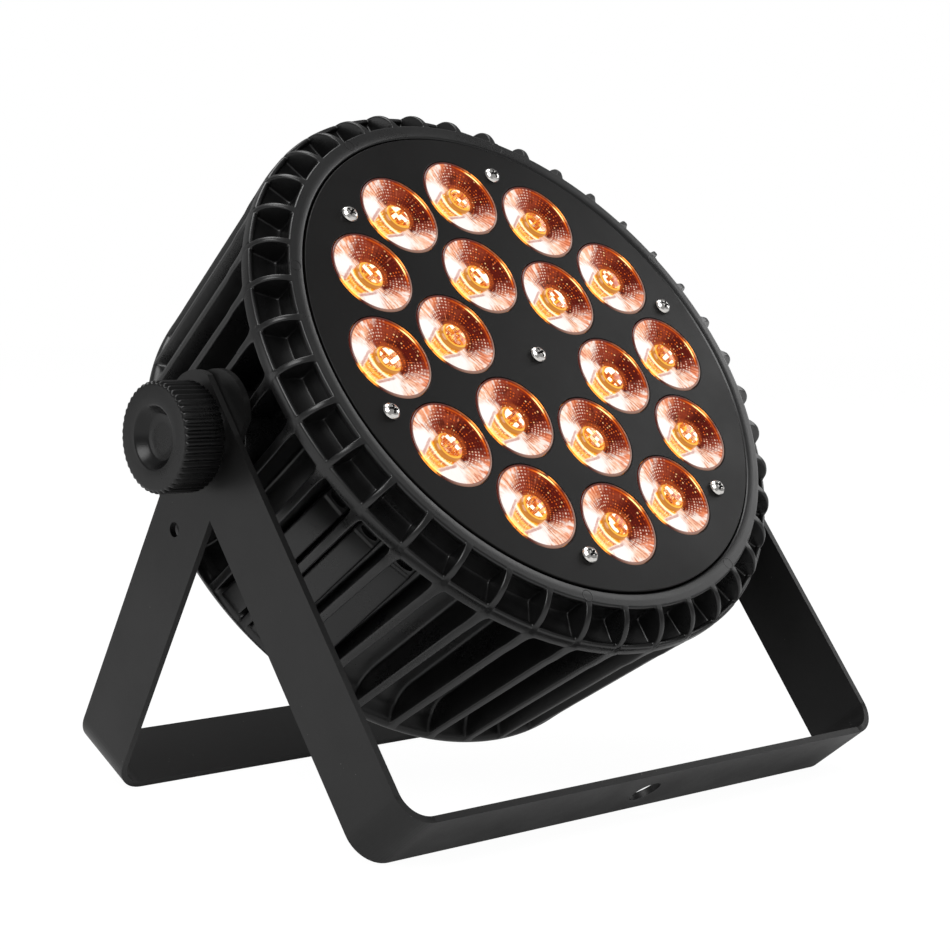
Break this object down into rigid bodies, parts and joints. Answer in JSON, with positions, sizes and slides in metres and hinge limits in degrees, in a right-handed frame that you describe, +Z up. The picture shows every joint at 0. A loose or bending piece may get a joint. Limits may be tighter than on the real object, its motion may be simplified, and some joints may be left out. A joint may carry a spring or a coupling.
{
  "type": "par can light",
  "caption": "Stage par can light with a finned round head, a face of clear lenses and a double strap yoke that opens into a floor stand, clamped by side knobs.",
  "frame": {"origin": "centre of the object's bounding box at floor level, with the yokes open as a floor stand", "axes": "+X along the yoke pivot axis, towards the right-hand knob seen from the front; the lens face looks towards -Y and up; +Z up"},
  "size_m": [0.3, 0.2216, 0.2624],
  "materials": {
    "cast_black": "satin black powder coat on die-cast aluminium",
    "plate_black": "fine matte black paint",
    "strap_black": "matte black powder coat on steel",
    "black_plastic": "fine moulded texture",
    "lens_clear": "polished, faceted, lit amber from behind",
    "nickel": "bright nickel plate",
    "zinc": "satin zinc plate",
    "rubber": "matte",
    "board_white": "white solder mask on an aluminium core",
    "board_green": "green solder mask with components",
    "dark_window": "dark red tinted acrylic",
    "cable_red": "soft insulation"
  },
  "bodies": {
    "yoke_front": {"yoke_front": "strap_black"},
    "yoke_rear": {"yoke_rear": "strap_black"},
    "head": {"housing": "cast_black", "front_plate": "plate_black", "lens_01": "lens_clear", "lens_02": "lens_clear", "lens_03": "lens_clear", "lens_04": "lens_clear", "lens_05": "lens_clear", "lens_06": "lens_clear", "lens_07": "lens_clear", "lens_08": "lens_clear", "lens_09": "lens_clear", "lens_10": "lens_clear", "lens_11": "lens_clear", "lens_12": "lens_clear", "lens_13": "lens_clear", "lens_14": "lens_clear", "lens_15": "lens_clear", "lens_16": "lens_clear", "lens_17": "lens_clear", "lens_18": "lens_clear", "led_board": "board_white", "face_screw_centre": "nickel", "face_screw_1": "nickel", "face_screw_2": "nickel", "face_screw_3": "nickel", "face_screw_4": "nickel", "face_screw_5": "nickel", "face_screw_6": "nickel", "rear_cover": "strap_black", "cover_screw_1": "nickel", "cover_screw_2": "nickel", "cover_screw_3": "nickel", "cover_screw_4": "nickel", "control_board": "board_green", "display_window": "dark_window", "power_inlet": "black_plastic", "power_outlet": "black_plastic", "dmx_input": "zinc", "dmx_output": "zinc", "fuse_holder": "black_plastic", "safety_eye": "zinc", "driver": "board_green", "led_harness": "cable_red", "mains_harness": "cable_red", "friction_washer_left": "rubber", "friction_washer_right": "rubber"},
    "dmx_latch": {"dmx_latch": "nickel"},
    "fuse_cap": {"fuse_cap": "black_plastic"},
    "button_1": {"button_1": "black_plastic"},
    "button_2": {"button_2": "black_plastic"},
    "button_3": {"button_3": "black_plastic"},
    "button_4": {"button_4": "black_plastic"},
    "knob_washer_left": {"knob_washer_left": "zinc"},
    "knob_left": {"knob_left": "black_plastic", "stud_left": "zinc"},
    "knob_washer_right": {"knob_washer_right": "zinc"},
    "knob_right": {"knob_right": "black_plastic", "stud_right": "zinc"}
  },
  "joints": [
    {"name": "rear_yoke_spread", "type": "hinge", "parent": "yoke_front", "child": "yoke_rear", "pos_m": [0, 0.00051, 0.13955], "axis": [1, 0, 0], "range_deg": [-66.1, 113.9], "stiffness_Nm_per_rad": 40},
    {"name": "head_tilt", "type": "hinge", "parent": "yoke_front", "child": "head", "pos_m": [0, 0.00051, 0.13955], "axis": [1, 0, 0], "range_deg": [-144, 125], "stiffness_Nm_per_rad": 15},
    {"name": "knob_travel_left", "type": "slide", "parent": "head", "child": "knob_washer_left", "axis": [-1, 0, 0], "range_m": [0, 0.0025]},
    {"name": "knob_turn_left", "type": "hinge", "parent": "knob_washer_left", "child": "knob_left", "pos_m": [0, 0.00051, 0.13955], "axis": [-1, 0, 0], "range_deg": [0, 723]},
    {"name": "knob_travel_right", "type": "slide", "parent": "head", "child": "knob_washer_right", "axis": [1, 0, 0], "range_m": [0, 0.0025]},
    {"name": "knob_turn_right", "type": "hinge", "parent": "knob_washer_right", "child": "knob_right", "pos_m": [0, 0.00051, 0.13955], "axis": [1, 0, 0], "range_deg": [0, 723]},
    {"name": "button_1_press", "type": "slide", "parent": "head", "child": "button_1", "axis": [0, -0.8121, 0.5835], "range_m": [0, 0.0008], "stiffness_N_per_m": 400},
    {"name": "button_2_press", "type": "slide", "parent": "head", "child": "button_2", "axis": [0, -0.8121, 0.5835], "range_m": [0, 0.0008], "stiffness_N_per_m": 400},
    {"name": "button_3_press", "type": "slide", "parent": "head", "child": "button_3", "axis": [0, -0.8121, 0.5835], "range_m": [0, 0.0008], "stiffness_N_per_m": 400},
    {"name": "button_4_press", "type": "slide", "parent": "head", "child": "button_4", "axis": [0, -0.8121, 0.5835], "range_m": [0, 0.0008], "stiffness_N_per_m": 400},
    {"name": "dmx_latch_press", "type": "slide", "parent": "head", "child": "dmx_latch", "axis": [0, -0.8121, 0.5835], "range_m": [0, 0.0015], "stiffness_N_per_m": 400},
    {"name": "fuse_cap_turn", "type": "hinge", "parent": "head", "child": "fuse_cap", "pos_m": [0, 0.0259, 0.07943], "axis": [0, 0.8121, -0.5835], "range_deg": [0, 90]}
  ],
  "couplings": [
    {"joint": "knob_turn_left", "follows": "knob_travel_left", "rad_per_m": 5026.5},
    {"joint": "knob_turn_right", "follows": "knob_travel_right", "rad_per_m": 5026.5}
  ]
}
